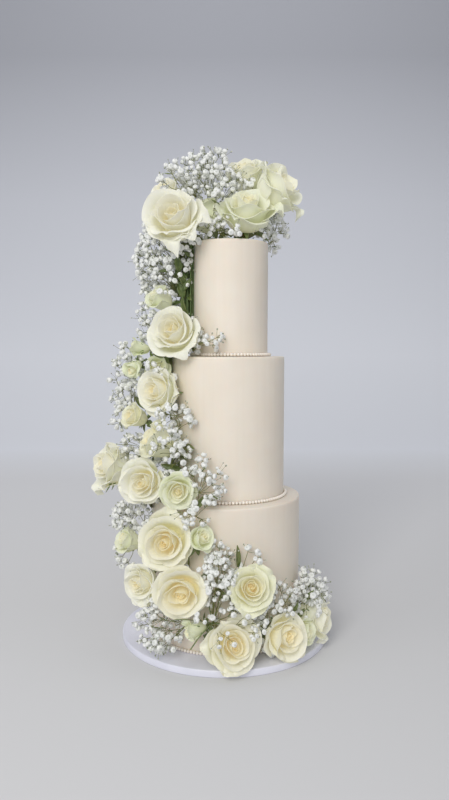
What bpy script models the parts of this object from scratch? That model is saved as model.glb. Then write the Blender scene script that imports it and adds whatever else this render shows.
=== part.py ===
"""A three-tier wedding cake on its round drum board, with a cascade of roses and baby's breath.

The board's underside is centred on the origin and +Z is up. The side that a guest faces looks
towards -Y. Lengths in the tables are millimetres and are turned into metres by mm().
"""

import bmesh
import bpy
from math import cos, hypot, pi, radians, sin
from mathutils import Matrix, Vector, noise


def mm(length):
    return length / 1000


# Driving sizes, in millimetres.
BOARD_RADIUS = 152.4
BOARD_THICKNESS = 10.0
BOARD_EDGE = 1.5
TIER_EDGE = 1.5
PEARL_DIAMETER = 4.4
GAP = 0.4
CLEARANCE = 1.2
ROUND_STEPS = 36
PEARL_STEPS = 4

# Each tier: name, axis shift in X, radius, height.
TIERS = (
    ("bottom", 1.0, 110.0, 202.0),
    ("middle", 5.0, 83.0, 203.0),
    ("top", 8.5, 55.0, 163.0),
)

# The rings of a flower from stem to heart, as shares of its radius: radius, height along the
# flower's own axis, and how deep the gaps between petal tips cut into the ring.
FLOWER_FORMS = {
    "open": (
        (0.16, -0.86, 0.00),
        (0.58, -0.68, 0.00),
        (0.90, -0.24, 0.04),
        (1.00, 0.10, 0.14),
        (0.76, 0.06, 0.06),
        (0.66, 0.36, 0.14),
        (0.46, 0.24, 0.06),
        (0.34, 0.46, 0.12),
    ),
    "half": (
        (0.14, -1.10, 0.00),
        (0.56, -0.94, 0.00),
        (0.88, -0.44, 0.02),
        (1.00, 0.22, 0.14),
        (0.74, 0.16, 0.04),
        (0.66, 0.50, 0.12),
        (0.40, 0.40, 0.06),
        (0.28, 0.58, 0.10),
    ),
    "bud": (
        (0.24, -1.10, 0.00),
        (0.78, -0.84, 0.00),
        (1.00, -0.18, 0.04),
        (0.88, 0.46, 0.10),
        (0.50, 0.90, 0.12),
    ),
}
HEART_HEIGHTS = {"open": 0.34, "half": 0.46, "bud": 0.86}
OUTER_RINGS = {"open": (0, 1, 2, 3, 5, 7), "half": (0, 1, 2, 3, 5, 7), "bud": (0, 1, 2, 3, 4)}
PETALS_IN_RING = 5
FULL_ROSE_WIDTH = 66
STEPS_PER_FULL_PETAL = 3
STEPS_PER_SMALL_PETAL = 2

# Each rose: name, centre, width, azimuth and elevation of the way it faces, form.
# Azimuth 0 faces the guest (-Y) and grows towards +X; elevation grows upwards.
ROSES = (
    ("rose_left_01", (-107, -84, 243), 64, -15, 5, "open"),
    ("rose_left_02", (-75, -117, 168), 69, -8, 8, "open"),
    ("rose_foot_01", (-55, -133, 106), 69, -5, 5, "open"),
    ("rose_foot_02", (11, -146, 40), 68, 8, 20, "open"),
    ("rose_foot_03", (77, -120, 41), 64, 32, 6, "open"),
    ("rose_foot_04", (36, -139, 112), 60, 5, 22, "open"),
    ("rose_crown_01", (-68, -50, 603), 80, -18, 24, "open"),
    ("rose_crown_02", (32, -20, 619), 76, 5, 52, "open"),
    ("rose_left_03", (-68, -57, 446), 73, -22, 20, "open"),
    ("rose_left_04", (-88, -62, 364), 65, -36, 12, "open"),
    ("rose_crown_03", (78, 2, 652), 76, 74, 26, "half"),
    ("rose_left_05", (-160, -50, 257), 64, -58, 15, "half"),
    ("rose_left_06", (-60, -106, 236), 52, 0, 0, "open"),
    ("rose_foot_05", (-111, -88, 104), 58, -36, 4, "open"),
    ("rose_left_07", (-91, -66, 296), 62, -74, 28, "half"),
    ("rose_foot_06", (128, -60, 44), 62, 68, 6, "half"),
    ("rose_crown_04", (34, 28, 682), 60, -25, 58, "half"),
    ("rose_crown_05", (-26, -4, 614), 56, -105, 38, "half"),
    ("rose_crown_06", (-80, 6, 650), 52, -40, 45, "half"),
    ("spray_rose_01", (-93, -22, 496), 42, -60, 35, "half"),
    ("spray_rose_02", (-33, -130, 175), 36, 35, 25, "half"),
    ("spray_rose_03", (-136, -62, 155), 41, -58, 22, "half"),
    ("spray_rose_04", (108, -94, 38), 42, 50, 0, "half"),
    ("spray_rose_05", (-128, -38, 328), 40, -50, 20, "half"),
    ("spray_rose_06", (-96, -36, 400), 36, 15, -10, "half"),
    ("spray_bud_01", (-120, -22, 427), 30, -82, 10, "bud"),
    ("spray_bud_02", (-127, -36, 400), 28, -35, -25, "bud"),
    ("spray_bud_03", (-36, -137, 58), 32, -62, -12, "bud"),
)

# Each cloud of baby's breath: name, centre, half extents.
CLOUDS = (
    ("gypsophila_crown_01", (-34, 2, 664), (58, 36, 36)),
    ("gypsophila_crown_02", (-14, 8, 700), (22, 16, 17)),
    ("gypsophila_crown_03", (72, 28, 600), (17, 20, 28)),
    ("gypsophila_crown_04", (2, -42, 592), (21, 15, 12)),
    ("gypsophila_left_01", (-86, -12, 548), (40, 34, 62)),
    ("gypsophila_left_02", (-112, -10, 460), (15, 20, 24)),
    ("gypsophila_left_03", (-24, -66, 434), (21, 14, 18)),
    ("gypsophila_left_04", (-142, -16, 375), (18, 22, 62)),
    ("gypsophila_left_05", (-66, -82, 331), (23, 16, 20)),
    ("gypsophila_left_06", (-76, -100, 296), (16, 9, 15)),
    ("gypsophila_left_07", (-122, -50, 286), (22, 24, 16)),
    ("gypsophila_left_08", (-27, -108, 246), (27, 18, 34)),
    ("gypsophila_left_09", (-36, -126, 212), (24, 13, 14)),
    ("gypsophila_left_10", (-130, -44, 186), (27, 30, 28)),
    ("gypsophila_foot_01", (-3, -130, 126), (28, 16, 46)),
    ("gypsophila_foot_02", (20, -138, 74), (38, 16, 16)),
    ("gypsophila_foot_03", (74, -112, 88), (18, 18, 26)),
    ("gypsophila_foot_04", (120, -54, 74), (29, 34, 36)),
    ("gypsophila_foot_05", (-86, -112, 52), (32, 26, 36)),
)

CLOUD_LUMP_SIZE = 0.7
CLOUD_LUMP_DEPTH = 0.32

# Each leaf: name, root, length, width, azimuth, elevation.
LEAVES = (
    ("leaf_01", (17, -118, 136), 30, 8, 0, 84),
    ("leaf_02", (12, -118, 100), 26, 9, -20, -72),
)
LEAF_THICKNESS = 1.0
LEAF_STATIONS = 6


# ---------------------------------------------------------------- scene and materials


def clear_scene():
    for thing in list(bpy.data.objects):
        bpy.data.objects.remove(thing)


def material(name, colour, roughness):
    made = bpy.data.materials.new(name)
    made.use_nodes = True
    shader = made.node_tree.nodes["Principled BSDF"]
    shader.inputs["Base Color"].default_value = (*colour, 1)
    shader.inputs["Roughness"].default_value = roughness
    shader.inputs["Metallic"].default_value = 0
    return made


def new_object(name, mesh, finish=None):
    thing = bpy.data.objects.new(name, mesh)
    bpy.context.scene.collection.objects.link(thing)
    if finish:
        mesh.materials.append(finish)
    return thing


def hide_cutter(thing):
    thing.hide_render = True
    thing.display_type = "WIRE"


# ---------------------------------------------------------------- turned shapes


def turned_mesh(name, rings, steps, heart=None, lobes=None):
    """A closed turned body. rings are (radius, height) from the bottom up, in millimetres.

    heart is the height of a closing point on the axis, or None for a flat top. lobes gives, for
    each ring, how much of its radius the gaps between the petal tips take away.
    """
    shape = bmesh.new()
    rows = []
    for level, (radius, height) in enumerate(rings):
        row = []
        for step in range(steps):
            angle = 2 * pi * step / steps
            reach = radius
            if lobes:
                turn = PETALS_IN_RING * angle + pi * (level % 2)
                reach *= 1 - lobes[level] * (0.5 - 0.5 * cos(turn))
            row.append(shape.verts.new((mm(reach * cos(angle)), mm(reach * sin(angle)), mm(height))))
        rows.append(row)
    for lower, upper in zip(rows, rows[1:]):
        for step in range(steps):
            after = (step + 1) % steps
            shape.faces.new((lower[step], lower[after], upper[after], upper[step]))
    shape.faces.new(list(reversed(rows[0])))
    if heart is None:
        shape.faces.new(rows[-1])
    else:
        tip = shape.verts.new((0, 0, mm(heart)))
        for step in range(steps):
            shape.faces.new((rows[-1][step], rows[-1][(step + 1) % steps], tip))
    mesh = bpy.data.meshes.new(name)
    shape.to_mesh(mesh)
    shape.free()
    return mesh


def drum_rings(radius, bottom, top, bottom_edge, top_edge):
    """Rings of a drum whose edges are eased by one facet each."""
    rings = [(radius - bottom_edge, bottom), (radius, bottom + bottom_edge)]
    rings += [(radius, top - top_edge), (radius - top_edge, top)]
    return rings if bottom_edge else rings[1:]


def make_board(finish):
    rings = drum_rings(BOARD_RADIUS, 0, BOARD_THICKNESS, BOARD_EDGE, BOARD_EDGE)
    board = new_object("cake_board", turned_mesh("cake_board", rings, ROUND_STEPS), finish)
    board.data.shade_smooth()
    board.data.set_sharp_from_angle(angle=radians(50))
    return board


def make_tier(name, shift, radius, bottom, top, finish):
    rings = drum_rings(radius, bottom, top, 0, TIER_EDGE)
    tier = new_object("tier_" + name, turned_mesh("tier_" + name, rings, ROUND_STEPS), finish)
    tier.location.x = mm(shift)
    tier.data.shade_smooth()
    tier.data.set_sharp_from_angle(angle=radians(50))
    return tier


def make_pearl_border(name, shift, radius, bottom, finish):
    """The border's outer form, a plain ring that the tier stands in."""
    bpy.ops.mesh.primitive_torus_add(
        major_radius=mm(radius + GAP + PEARL_DIAMETER / 2),
        minor_radius=mm(PEARL_DIAMETER / 2),
        major_segments=ROUND_STEPS,
        minor_segments=PEARL_STEPS,
        location=(mm(shift), 0, mm(bottom + PEARL_DIAMETER / 2)),
    )
    border = bpy.context.object
    border.name = "pearl_border_" + name
    border.data.materials.append(finish)
    border.data.shade_smooth()
    return border


def tier_envelope(name, shift, radius, bottom, top):
    """The room that a tier and its border need, kept clear of the flowers."""
    wide = 1 / cos(pi / ROUND_STEPS)
    foot = (radius + PEARL_DIAMETER + GAP + CLEARANCE) * wide
    side = (radius + CLEARANCE) * wide
    step_height = bottom + PEARL_DIAMETER + CLEARANCE
    rings = [(foot, bottom - CLEARANCE), (foot, step_height), (side, step_height), (side, top + GAP)]
    envelope = new_object("room_" + name, turned_mesh("room_" + name, rings, ROUND_STEPS))
    envelope.location.x = mm(shift)
    hide_cutter(envelope)
    return envelope


def board_envelope():
    reach = BOARD_RADIUS / cos(pi / ROUND_STEPS) + GAP
    rings = [(reach, -BOARD_THICKNESS), (reach, BOARD_THICKNESS + GAP)]
    envelope = new_object("room_board", turned_mesh("room_board", rings, ROUND_STEPS))
    hide_cutter(envelope)
    return envelope


# ---------------------------------------------------------------- flowers


def facing(azimuth, elevation):
    """The direction that an azimuth and an elevation in degrees point to."""
    turn = radians(azimuth)
    lift = radians(elevation)
    return Vector((sin(turn) * cos(lift), -cos(turn) * cos(lift), sin(lift)))


def aim(thing, centre, azimuth, elevation):
    """Puts the object at its centre with its own +Z along the given direction."""
    turn = facing(azimuth, elevation).to_track_quat("Z", "Y").to_matrix().to_4x4()
    place = Matrix.Translation([mm(value) for value in centre])
    thing.matrix_world = place @ turn


def make_rose(name, centre, width, azimuth, elevation, form, finish):
    radius = width / 2
    stations = FLOWER_FORMS[form]
    rings = [(share * radius, height * radius) for share, height, _ in stations]
    lobes = [depth for _, _, depth in stations]
    full = width >= FULL_ROSE_WIDTH
    steps = PETALS_IN_RING * (STEPS_PER_FULL_PETAL if full else STEPS_PER_SMALL_PETAL)
    mesh = turned_mesh(name, rings, steps, HEART_HEIGHTS[form] * radius, lobes)
    rose = new_object(name, mesh, finish)
    aim(rose, centre, azimuth, elevation)
    return rose


def rose_envelope(name, centre, width, azimuth, elevation, form):
    """The plain turned room round one rose, which its neighbours stay out of."""
    steps = 12
    radius = width / 2
    stations = [FLOWER_FORMS[form][level] for level in OUTER_RINGS[form]]
    outward = radius / cos(pi / steps)
    rings = [(share * outward + CLEARANCE, height * radius) for share, height, _ in stations]
    rings[0] = (rings[0][0], rings[0][1] - GAP)
    rings.append((rings[-1][0] * 0.7, rings[-1][1] + GAP))
    envelope = new_object("room_" + name, turned_mesh("room_" + name, rings, steps))
    aim(envelope, centre, azimuth, elevation)
    hide_cutter(envelope)
    return envelope


def make_cloud(name, centre, half_extents, finish=None):
    """A cloud of baby's breath out to its uneven outline."""
    shape = bmesh.new()
    bmesh.ops.create_icosphere(shape, subdivisions=2, radius=1)
    start = Vector([mm(value) for value in centre]) * 40
    for vert in shape.verts:
        swell = 1 - CLOUD_LUMP_DEPTH * abs(noise.noise(vert.co / CLOUD_LUMP_SIZE + start))
        vert.co = Vector([mm(extent * value * swell) for extent, value in zip(half_extents, vert.co)])
    mesh = bpy.data.meshes.new(name)
    shape.to_mesh(mesh)
    shape.free()
    cloud = new_object(name, mesh, finish)
    cloud.location = [mm(value) for value in centre]
    return cloud


def cloud_envelope(name, centre, half_extents):
    """The same cloud a little larger, which later clouds stay out of."""
    larger = [extent + CLEARANCE for extent in half_extents]
    envelope = make_cloud("room_" + name, centre, larger)
    hide_cutter(envelope)
    return envelope


def leaf_envelope(name, root, length, width, azimuth, elevation):
    """A slim turned room round one leaf."""
    rings = ((width * 0.3, -CLEARANCE), (width * 0.72, length * 0.4), (width * 0.5, length + CLEARANCE))
    envelope = new_object("room_" + name, turned_mesh("room_" + name, rings, 12))
    aim(envelope, root, azimuth, elevation)
    hide_cutter(envelope)
    return envelope


def make_leaf(name, root, length, width, azimuth, elevation, finish):
    """A pointed leaf with a fold along its midrib, its length along its own +Z."""
    shape = bmesh.new()
    fold = 0.18
    rows = []
    for station in range(LEAF_STATIONS + 1):
        along = 0.04 + 0.92 * station / LEAF_STATIONS
        half = width / 2 * sin(pi * along) ** 0.8
        arch = 0.10 * length * along * along
        thick = LEAF_THICKNESS / 2
        corners = (
            (-half, arch + fold * half - thick),
            (0, arch - thick),
            (half, arch + fold * half - thick),
            (half, arch + fold * half + thick),
            (0, arch + thick),
            (-half, arch + fold * half + thick),
        )
        rows.append([shape.verts.new((mm(x), mm(y), mm(length * along))) for x, y in corners])
    around = len(rows[0])
    for lower, upper in zip(rows, rows[1:]):
        for side in range(around):
            after = (side + 1) % around
            shape.faces.new((lower[side], lower[after], upper[after], upper[side]))
    shape.faces.new(list(reversed(rows[0])))
    shape.faces.new(rows[-1])
    bmesh.ops.recalc_face_normals(shape, faces=shape.faces)
    mesh = bpy.data.meshes.new(name)
    shape.to_mesh(mesh)
    shape.free()
    leaf = new_object(name, mesh, finish)
    aim(leaf, root, azimuth, elevation)
    return leaf


# ---------------------------------------------------------------- keeping pieces apart


def world_box(thing):
    corners = [thing.matrix_world @ Vector(corner) for corner in thing.bound_box]
    lowest = [min(corner[axis] for corner in corners) for axis in range(3)]
    highest = [max(corner[axis] for corner in corners) for axis in range(3)]
    return lowest, highest


def boxes_meet(first, second):
    low_a, high_a = world_box(first)
    low_b, high_b = world_box(second)
    return all(low_a[axis] < high_b[axis] and low_b[axis] < high_a[axis] for axis in range(3))


def keep_largest_piece(mesh):
    """Drops the small loose bits that a cut can leave."""
    shape = bmesh.new()
    shape.from_mesh(mesh)
    bmesh.ops.remove_doubles(shape, verts=shape.verts, dist=0.00001)
    waiting = set(shape.verts)
    islands = []
    while waiting:
        island = set()
        edge_of_search = [waiting.pop()]
        while edge_of_search:
            vert = edge_of_search.pop()
            island.add(vert)
            for edge in vert.link_edges:
                other = edge.other_vert(vert)
                if other in waiting:
                    waiting.discard(other)
                    edge_of_search.append(other)
        islands.append(island)
    islands.sort(key=len)
    for island in islands[:-1]:
        bmesh.ops.delete(shape, geom=list(island), context="VERTS")
    shape.to_mesh(mesh)
    shape.free()


def cut_clear(thing, rooms):
    """Cuts from the piece whatever lies in the rooms of the pieces made before it."""
    bpy.context.view_layer.update()
    near = [room for room in rooms if boxes_meet(thing, room)]
    for room in near:
        cut = thing.modifiers.new("Keep clear of " + room.name, "BOOLEAN")
        cut.operation = "DIFFERENCE"
        cut.solver = "EXACT"
        cut.object = room
    if not near:
        return
    graph = bpy.context.evaluated_depsgraph_get()
    trimmed = bpy.data.meshes.new_from_object(thing.evaluated_get(graph))
    thing.modifiers.clear()
    thing.data = trimmed
    keep_largest_piece(trimmed)


# ---------------------------------------------------------------- the cake


def build_cake():
    clear_scene()
    icing = material("icing", (0.83, 0.76, 0.68), 0.55)
    pearl = material("sugar_pearls", (0.88, 0.83, 0.76), 0.25)
    board_white = material("board", (0.80, 0.81, 0.88), 0.4)
    petal = material("rose_petals", (0.90, 0.88, 0.74), 0.6)
    blossom = material("gypsophila", (0.90, 0.92, 0.92), 0.7)
    green = material("leaves", (0.10, 0.19, 0.05), 0.5)

    make_board(board_white)
    rooms = [board_envelope()]
    bottom = BOARD_THICKNESS + GAP
    for name, shift, radius, height in TIERS:
        top = bottom + height - GAP
        make_tier(name, shift, radius, bottom, top, icing)
        make_pearl_border(name, shift, radius, bottom, pearl)
        rooms.append(tier_envelope(name, shift, radius, bottom, top))
        bottom = top + GAP

    for name, centre, width, azimuth, elevation, form in ROSES:
        rose = make_rose(name, centre, width, azimuth, elevation, form, petal)
        cut_clear(rose, rooms)
        rooms.append(rose_envelope(name, centre, width, azimuth, elevation, form))

    for sizes in LEAVES:
        cut_clear(make_leaf(*sizes, green), rooms)
        rooms.append(leaf_envelope(*sizes))

    for sizes in CLOUDS:
        cut_clear(make_cloud(*sizes, blossom), rooms)
        rooms.append(cloud_envelope(*sizes))


build_cake()
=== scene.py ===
"""The finished look of a tiered wedding cake with roses and baby's breath, made around its solids.

Lengths are in metres. +Z is up and the guest looks along +Y, so -Y is the front.
"""

from math import atan2, cos, hypot, pi, radians, sin

import bmesh
import bpy
import numpy as np
from mathutils import Matrix, Vector
from mathutils.bvhtree import BVHTree


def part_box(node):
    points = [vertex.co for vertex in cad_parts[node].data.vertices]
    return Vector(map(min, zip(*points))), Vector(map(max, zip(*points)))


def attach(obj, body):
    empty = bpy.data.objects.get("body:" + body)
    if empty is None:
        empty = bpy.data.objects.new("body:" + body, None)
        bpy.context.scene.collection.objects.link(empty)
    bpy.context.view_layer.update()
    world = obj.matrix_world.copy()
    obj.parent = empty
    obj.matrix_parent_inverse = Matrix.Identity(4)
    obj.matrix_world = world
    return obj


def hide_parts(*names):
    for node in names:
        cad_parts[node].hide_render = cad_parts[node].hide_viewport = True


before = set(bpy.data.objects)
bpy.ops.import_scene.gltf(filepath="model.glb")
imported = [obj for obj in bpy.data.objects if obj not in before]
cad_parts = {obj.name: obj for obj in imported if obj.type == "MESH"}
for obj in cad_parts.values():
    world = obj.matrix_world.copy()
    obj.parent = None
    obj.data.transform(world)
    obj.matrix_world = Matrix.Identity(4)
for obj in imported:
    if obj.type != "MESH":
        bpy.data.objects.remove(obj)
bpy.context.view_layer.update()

MM = 0.001
GOLDEN_ANGLE = radians(137.5)

TIER_NAMES = ("bottom", "middle", "top")
TIER_EDGE = 2.6 * MM
TIER_STEPS = 160
TIER_LEVELS = 36
PEARL_PITCH = 4.7 * MM
BOARD_EDGE = 1.8 * MM
BOARD_STEPS = 180
WALL_WAVER = 0.12 * MM
DRUM_CREASE = radians(40)
PEARL_SIZES = (0.92, 1.04)

# Each rose: width, azimuth and elevation of the way it faces, turn about its own axis, form, how
# green its outer petals are, and their colour. Azimuth 0 faces the guest and grows towards +X.
ROSES = {
    "rose_left_01": (0.064, -15, 5, 20, "open", 0.08, "white"),
    "rose_left_02": (0.069, -8, 8, 75, "hollow", 0.08, "cream"),
    "rose_foot_01": (0.069, -5, 5, 190, "hollow", 0.08, "cream"),
    "rose_foot_02": (0.068, 8, 20, 300, "open", 0.08, "cream"),
    "rose_foot_03": (0.064, 32, 6, 50, "open", 0.08, "cream"),
    "rose_foot_04": (0.060, 5, 22, 120, "open", 0.30, "cream"),
    "rose_crown_01": (0.080, -18, 24, 10, "hollow", 0.08, "white"),
    "rose_crown_02": (0.076, 5, 52, 140, "open", 0.35, "white"),
    "rose_left_03": (0.073, -22, 20, 250, "open", 0.08, "white"),
    "rose_left_04": (0.065, -36, 12, 330, "open", 0.08, "white"),
    "rose_crown_03": (0.078, 62, 34, 60, "hollow", 0.22, "white"),
    "rose_left_05": (0.064, -58, 15, 210, "half", 0.08, "white"),
    "rose_left_06": (0.052, 0, 0, 95, "open", 0.45, "white"),
    "rose_foot_05": (0.058, -36, 4, 160, "open", 0.08, "white"),
    "rose_left_07": (0.062, -74, 28, 15, "half", 0.25, "cream"),
    "rose_foot_06": (0.062, 68, 6, 230, "half", 0.12, "white"),
    "rose_crown_04": (0.060, -25, 58, 310, "half", 0.15, "white"),
    "rose_crown_05": (0.056, -105, 38, 85, "half", 0.50, "white"),
    "rose_crown_06": (0.052, -40, 45, 35, "half", 0.08, "white"),
    "spray_rose_01": (0.042, -60, 35, 0, "half", 0.50, "white"),
    "spray_rose_02": (0.036, 35, 25, 110, "half", 0.55, "white"),
    "spray_rose_03": (0.041, -58, 22, 280, "half", 0.45, "white"),
    "spray_rose_04": (0.042, 50, 0, 70, "half", 0.50, "white"),
    "spray_rose_05": (0.040, -50, 20, 170, "half", 0.25, "cream"),
    "spray_rose_06": (0.036, 15, -10, 40, "half", 0.60, "white"),
    "spray_bud_01": (0.030, -82, 10, 200, "bud", 0.70, "white"),
    "spray_bud_02": (0.028, -35, -25, 320, "bud", 0.60, "white"),
    "spray_bud_03": (0.032, -62, -12, 130, "bud", 0.60, "white"),
}

# How the petals of each form change from the heart (share 0) to the outermost (share 1). Reaches
# and heights are the rim's distance from the axis and along it, in shares of the rose's radius.
SHARES = (0.0, 0.2, 0.4, 0.6, 0.8, 1.0)
FORMS = {
    "open": {
        "petals": 20,
        "foot": -0.84,
        "reaches": (0.04, 0.14, 0.27, 0.46, 0.72, 0.95),
        "heights": (0.42, 0.50, 0.54, 0.52, 0.36, 0.08),
        "half_turns": (165, 135, 118, 104, 90, 80),
        "rolls": (0, 3, 8, 20, 42, 58),
        "points": (0.10, 0.28),
    },
    "half": {
        "petals": 16,
        "foot": -1.06,
        "reaches": (0.04, 0.14, 0.28, 0.46, 0.68, 0.90),
        "heights": (0.50, 0.60, 0.64, 0.60, 0.48, 0.24),
        "half_turns": (165, 135, 118, 106, 94, 84),
        "rolls": (0, 2, 6, 16, 34, 52),
        "points": (0.05, 0.16),
    },
    "bud": {
        "petals": 9,
        "foot": -1.05,
        "reaches": (0.08, 0.22, 0.34, 0.48, 0.64, 0.78),
        "heights": (0.92, 0.92, 0.86, 0.80, 0.70, 0.56),
        "half_turns": (160, 130, 115, 105, 95, 86),
        "rolls": (0, 0, 5, 15, 35, 60),
        "points": (0.10, 0.25),
    },
}

# The hollow roses are open ones whose heart lies deeper.
FORMS["hollow"] = {
    **FORMS["open"],
    "petals": 19,
    "reaches": (0.04, 0.12, 0.25, 0.54, 0.76, 0.96),
    "heights": (0.26, 0.34, 0.42, 0.54, 0.36, 0.08),
    "rolls": (0, 3, 8, 20, 44, 60),
}
ROSE_FILL = 0.93

# Long pointed outer petals that some roses have: where each points and how long it is against the others.
POINTED_PETALS = {
    "rose_crown_01": (((1, -0.2, -0.2), 1.30), ((0.7, -0.3, -0.8), 1.2), ((0.1, -0.3, -1), 1.38)),
    "rose_crown_03": (((1, -0.3, -0.3), 1.40), ((-0.5, -0.6, 0.6), 1.15)),
    "rose_crown_02": (((-1, -0.2, 0.1), 1.20), ((1, -0.3, 0.2), 1.25)),
    "rose_crown_04": (((-0.7, -0.5, 0), 1.20), ((0.8, -0.5, 0), 1.15)),
    "rose_left_02": (((0.1, -0.2, 1), 1.30), ((-1, -0.2, -0.6), 1.15)),
    "rose_left_03": (((0.5, -0.2, -1), 1.15),),
    "rose_left_04": (((0.2, -0.3, -1), 1.15), ((1, -0.2, -0.1), 1.15)),
    "rose_left_05": (((0.4, -0.4, 1), 1.30), ((-0.6, -0.2, -1), 1.32), ((0.3, -0.4, -1), 1.15)),
    "rose_foot_02": (((-1, -0.2, 0), 1.25), ((-0.4, -0.2, -1), 1.15)),
    "rose_foot_03": (((0.7, -0.2, -0.7), 1.25),),
    "rose_foot_04": (((-0.2, -0.3, -1), 1.20), ((0.8, -0.2, 0.6), 1.15)),
    "rose_foot_05": (((0.4, -0.2, -1), 1.20),),
    "rose_foot_06": (((0.8, -0.4, -0.6), 1.25),),
}

PETAL_ACROSS = 22
PETAL_ALONG = 14
PETAL_THICKNESS = 0.35 * MM
PETAL_STEP = 3
PETAL_CREASE = radians(50)
PETAL_TURN_PLAY = 14
HEART_LEAN = 0.10
HEART_SQUEEZE = 0.30

BOARD_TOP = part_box("cake_board")[1].z
BOARD_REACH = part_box("cake_board")[1].x

FLORET_WIDTHS = (5.8 * MM, 9.6 * MM)
FLORET_SPACING = 6.8 * MM
FLORET_TILT = (0, -0.45, 0.2)
PEDICEL_LENGTHS = (5 * MM, 13 * MM)
BUD_LENGTHS = (1.8 * MM, 3.2 * MM)
BUD_PEDICELS = (9 * MM, 18 * MM)
BUD_COUNTS = (2, 5)
LEAFLET_LENGTHS = (6 * MM, 11 * MM)
LEAFLET_CHANCE = 0.7
FORK_SPACING = 13 * MM
TRIES_A_FORK = 12
DEEP_IN_CLOUD = 12 * MM
DEEP_FORKS_LEFT_OUT = 0.85
HEAD_COUNTS = (3, 7)
HEAD_SPREAD = 1.0
HEADS_ROUND_ROSE = 6
SMALL_ROSE = 45 * MM
COPY_STEP = 4.0
# Radii of the stems, and how far they bow.
STEM_RADII = {
    "root": 0.5 * MM,
    "sprig": 0.45 * MM,
    "rose": 0.4 * MM,
    "branch": 0.35 * MM,
    "floret": 0.25 * MM,
    "bud": 0.2 * MM,
}
PEDICEL_BOW = 1.5 * MM
BRANCH_BOW = 2 * MM
SPRIG_BOW = 3 * MM
# Room that things keep from the icing and the board, and a rose's room in shares of its radius.
ROOM_FOR_BUD = 2 * MM
ROOM_FOR_LEAF = 2.5 * MM
ROOM_FOR_FORK = 3 * MM
ROOM_FOR_FLORET = 3.5 * MM
ROSE_ROOM_REACH = 0.80
ROSE_ROOM_BACK = -0.95
ROSE_ROOM_FRONT = 1.5

# Where a cloud's stems come out of the bouquet, in millimetres, and how full it is. Other clouds
# start at their inner side and are full.
CLOUDS = {
    "crown_01": ((-20, -15, 606), 0.5),
    "crown_02": ((-17, 0, 645), 0.22),
    "crown_03": (None, 0.8),
    "crown_04": (None, 0.6),
    "left_03": ((-48, -58, 421), 0.55),
    "left_05": (None, 0.4),
    "left_06": (None, 0.35),
    "left_08": ((-42, -113, 210), 0.45),
    "left_09": (None, 0.7),
    "foot_01": ((-15, -140, 68), 1),
    "foot_02": ((-15, -141, 66), 0.6),
    "foot_03": ((54, -122, 46), 1),
    "foot_05": ((-50, -126, 60), 1),
}

# Single sprigs that cross in front of the roses: root, then each fork and its number of florets.
SPRIGS = (
    ((-24, -20, 596), ((-58, -46, 642), 3)),
    ((-58, -46, 642), ((-84, -42, 656), 5), ((-74, -36, 672), 5)),
    ((-24, -20, 596), ((-12, -44, 634), 3)),
    ((-17, 0, 640), ((-28, -6, 697), 5), ((-16, 0, 704), 5), ((-2, 2, 699), 4)),
    ((-96, -78, 280), ((-88, -104, 297), 3), ((-74, -100, 300), 3), ((-70, -102, 286), 2)),
    ((-112, -40, 390), ((-103, -64, 402), 4), ((-92, -62, 393), 3)),
    ((16, -116, 118), ((31, -122, 158), 4), ((41, -122, 148), 4)),
    ((-15, -141, 66), ((-7, -164, 56), 2), ((6, -165, 58), 2), ((-30, -158, 80), 4)),
    ((12, -140, 62), ((36, -150, 60), 4), ((47, -142, 66), 4)),
    ((-74, -82, 262), ((-66, -88, 283), 5), ((-56, -86, 290), 4), ((-58, -90, 275), 4)),
    ((-129, -60, 148), ((-143, -66, 135), 4), ((-135, -70, 127), 5), ((-144, -62, 143), 3)),
    ((-15, -140, 72), ((-22, -144, 143), 5), ((-16, -148, 131), 6), ((-7, -144, 146), 5)),
    ((-15, -140, 72), ((-12, -148, 114), 5), ((2, -144, 125), 5)),
)

# Bare twigs at the foot of the bouquet: root, then each tip and its thickness.
TWIGS = (
    ((-15, -139, 68), ((-44, -152, 38), 0.9), ((-62, -146, 76), 0.7), ((-26, -150, 44), 0.6)),
    ((-62, -146, 76), ((-72, -148, 71), 0.5)),
    ((-15, -139, 68), ((-4, -126, 104), 0.9), ((-22, -128, 98), 0.8), ((8, -140, 66), 0.9)),
)

# Sepals that hang loose under the left side rose: root and tip.
LOOSE_SEPALS = (
    ((-154, -56, 245), (-168, -58, 224)),
    ((-150, -58, 246), (-159, -60, 228)),
)
LOOSE_SEPAL_WIDTH = 5 * MM

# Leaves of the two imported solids: length, width, azimuth and elevation of the blade.
LONG_LEAVES = {
    "leaf_01": (30 * MM, 7 * MM, 0, 84),
    "leaf_02": (26 * MM, 9 * MM, -20, -72),
}

# Gaps between the flowers and the cake that leaves fill: two corners in millimetres, number of leaves.
LEAFY_GAPS = (
    ((-44, -30, 572), (62, 26, 590), 34),
    ((-34, -22, 606), (0, 8, 632), 16),
    ((-72, -30, 448), (-46, 12, 585), 80),
    ((-92, -50, 378), (-76, -20, 428), 14),
    ((-96, -40, 405), (-72, -10, 436), 14),
    ((-116, -20, 330), (-84, 10, 400), 20),
    ((-34, -118, 88), (8, -110, 128), 5),
    ((-62, -112, 196), (-38, -100, 214), 8),
    ((-102, -62, 258), (-84, -30, 305), 9),
    ((-94, -62, 255), (-76, -30, 285), 26),
    ((-72, -72, 256), (-58, -58, 278), 6),
    ((-118, -40, 195), (-88, -10, 222), 14),
    ((-104, -72, 196), (-88, -50, 232), 8),
    ((-84, -100, 116), (-62, -86, 150), 7),
    ((84, -98, 44), (112, -80, 74), 4),
)
GAP_LEAF_LENGTHS = (15 * MM, 30 * MM)
LEAVES_BEHIND_ROSE = 5
SEPALS = 5
ROSE_HIP = 0.13

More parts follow.
